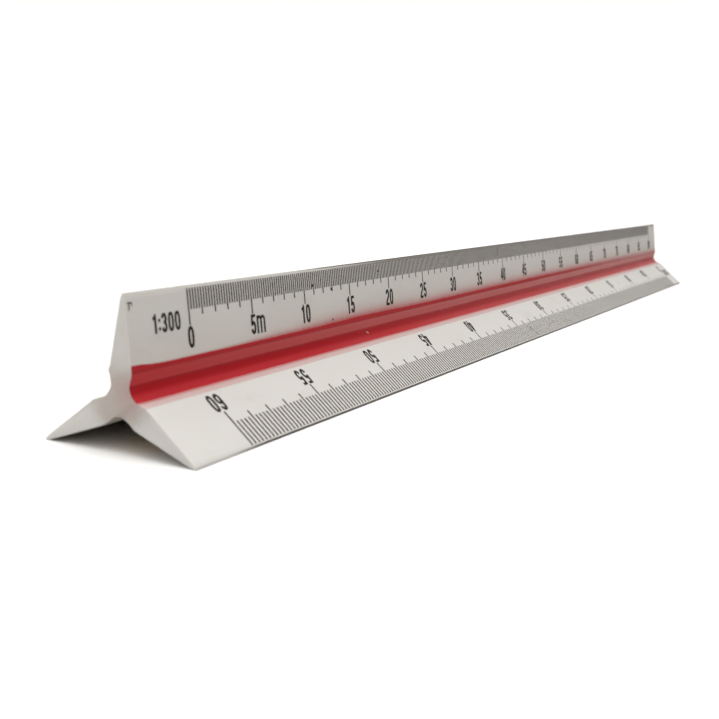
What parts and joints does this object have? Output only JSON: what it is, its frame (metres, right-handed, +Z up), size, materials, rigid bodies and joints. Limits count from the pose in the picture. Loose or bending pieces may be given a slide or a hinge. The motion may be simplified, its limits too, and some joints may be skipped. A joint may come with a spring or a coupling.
{
  "type": "triangular scale ruler",
  "caption": "Three-edged white plastic drafting ruler with printed metric reduction scales on both sides of each fin and a painted colour stripe in each groove.",
  "frame": {"origin": "middle of the bar's length, on the plane the ruler rests on, below the top fin's edge", "axes": "+X along the bar, from the zero of the 1:300 scale towards its far end; +Z up through the top fin; the red groove faces -Y"},
  "size_m": [0.325, 0.0248, 0.0215],
  "materials": {
    "white_plastic": "satin",
    "red_paint": "semi-gloss",
    "green_paint": "semi-gloss",
    "yellow_paint": "semi-gloss",
    "printing_ink": "matte"
  },
  "bodies": {
    "root": {"ruler_body": "white_plastic", "groove_stripe_red": "red_paint", "groove_stripe_green": "green_paint", "groove_stripe_yellow": "yellow_paint", "graduations_1to300": "printing_ink", "numerals_1to300": "printing_ink", "ratio_mark_1to300": "printing_ink", "graduations_1to200": "printing_ink", "numerals_1to200": "printing_ink", "ratio_mark_1to200": "printing_ink", "graduations_1to250": "printing_ink", "numerals_1to250": "printing_ink", "ratio_mark_1to250": "printing_ink", "graduations_1to400": "printing_ink", "numerals_1to400": "printing_ink", "ratio_mark_1to400": "printing_ink", "graduations_1to100": "printing_ink", "numerals_1to100": "printing_ink", "ratio_mark_1to100": "printing_ink", "graduations_1to500": "printing_ink", "numerals_1to500": "printing_ink", "ratio_mark_1to500": "printing_ink"}
  },
  "joints": []
}
